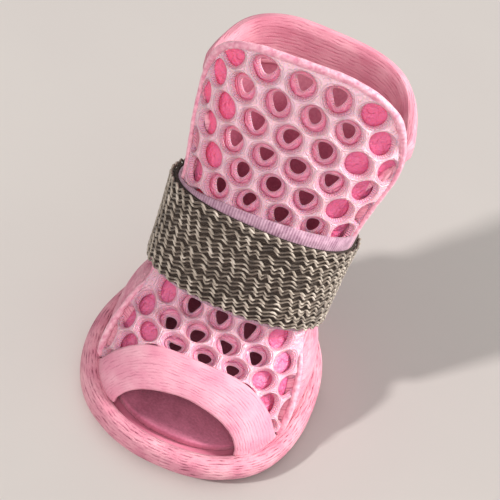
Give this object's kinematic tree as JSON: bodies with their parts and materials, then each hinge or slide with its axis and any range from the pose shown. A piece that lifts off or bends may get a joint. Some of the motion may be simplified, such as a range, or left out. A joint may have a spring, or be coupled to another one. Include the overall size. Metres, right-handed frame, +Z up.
{
  "type": "dog boot",
  "caption": "Open-toed dog boot with a hollow mesh upper, a padded rim round a low sole, and an elastic strap round the ankle.",
  "frame": {"origin": "on the floor, in the middle of the boot's length and width", "axes": "+Z up, toe towards -Y, +X to the side, alike on both sides"},
  "size_m": [0.0552, 0.0709, 0.0862],
  "materials": {
    "outsole_rubber": "matt moulded rubber",
    "rim_tape": "ribbed knitted tape over padding",
    "insole_fabric": "brushed lining fabric",
    "upper_mesh": "double layer of large-hole mesh with ribbed back panel",
    "backing_band": "finely ribbed band",
    "woven_elastic": "woven elastic with raised light threads",
    "hook_and_loop": "hook-and-loop tape"
  },
  "bodies": {
    "root": {"outsole": "outsole_rubber", "sole_rim": "rim_tape", "insole": "insole_fabric", "upper": "upper_mesh", "strap_backing": "backing_band", "strap": "woven_elastic", "strap_end": "hook_and_loop"}
  },
  "joints": []
}
